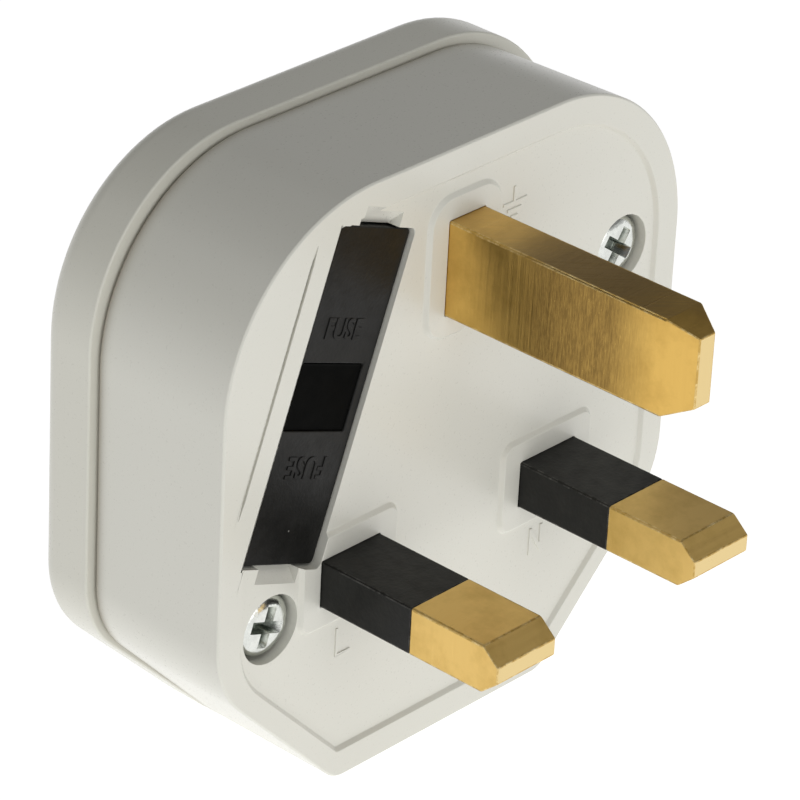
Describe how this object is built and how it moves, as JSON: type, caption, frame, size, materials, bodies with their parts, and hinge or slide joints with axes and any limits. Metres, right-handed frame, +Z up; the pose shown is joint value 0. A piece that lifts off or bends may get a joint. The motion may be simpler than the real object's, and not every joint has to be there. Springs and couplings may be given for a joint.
{
  "type": "mains plug",
  "caption": "Rewirable mains plug with rectangular brass pins, part-sleeved line pins, a slanted pull-out fuse carrier in the pin face and a screwed-on back cover.",
  "frame": {"origin": "on the pin face, midway between the live and the neutral pin", "axes": "+X to the right as one faces the pins, +Y into the plug so that the pins point along -Y, +Z up towards the earth pin"},
  "size_m": [0.0514, 0.0419, 0.0508],
  "materials": {
    "shell": "satin moulding",
    "cover": "satin moulding",
    "black_moulding": "matt moulding",
    "brass": "drawn, a little tarnished",
    "zinc_screw": "bright zinc plate",
    "fuse_cap": "bright nickel plate",
    "fuse_tube": "unglazed ceramic",
    "cord_grip": "matt moulding"
  },
  "bodies": {
    "plug": {"base": "shell", "cover": "cover", "earth_pin": "brass", "neutral_pin": "brass", "live_pin": "brass", "neutral_sleeve": "black_moulding", "live_sleeve": "black_moulding", "fuse_clip_lower": "brass", "fuse_clip_upper": "brass", "live_rivet": "brass", "live_terminal": "brass", "live_terminal_screw": "zinc_screw", "neutral_terminal_screw": "zinc_screw", "earth_terminal_screw": "zinc_screw", "cord_grip": "cord_grip", "cord_grip_screw_left": "zinc_screw", "cord_grip_screw_right": "zinc_screw", "cover_screw_lower": "zinc_screw", "cover_screw_upper": "zinc_screw", "cover_insert_lower": "brass", "cover_insert_upper": "brass"},
    "fuse_holder": {"fuse_carrier": "black_moulding", "fuse_barrel": "fuse_tube", "fuse_cap_upper": "fuse_cap", "fuse_cap_lower": "fuse_cap", "fuse_wire": "fuse_cap"}
  },
  "joints": [
    {"name": "carrier_pull", "type": "slide", "parent": "plug", "child": "fuse_holder", "axis": [0, -1, 0], "range_m": [0, 0.009]}
  ]
}
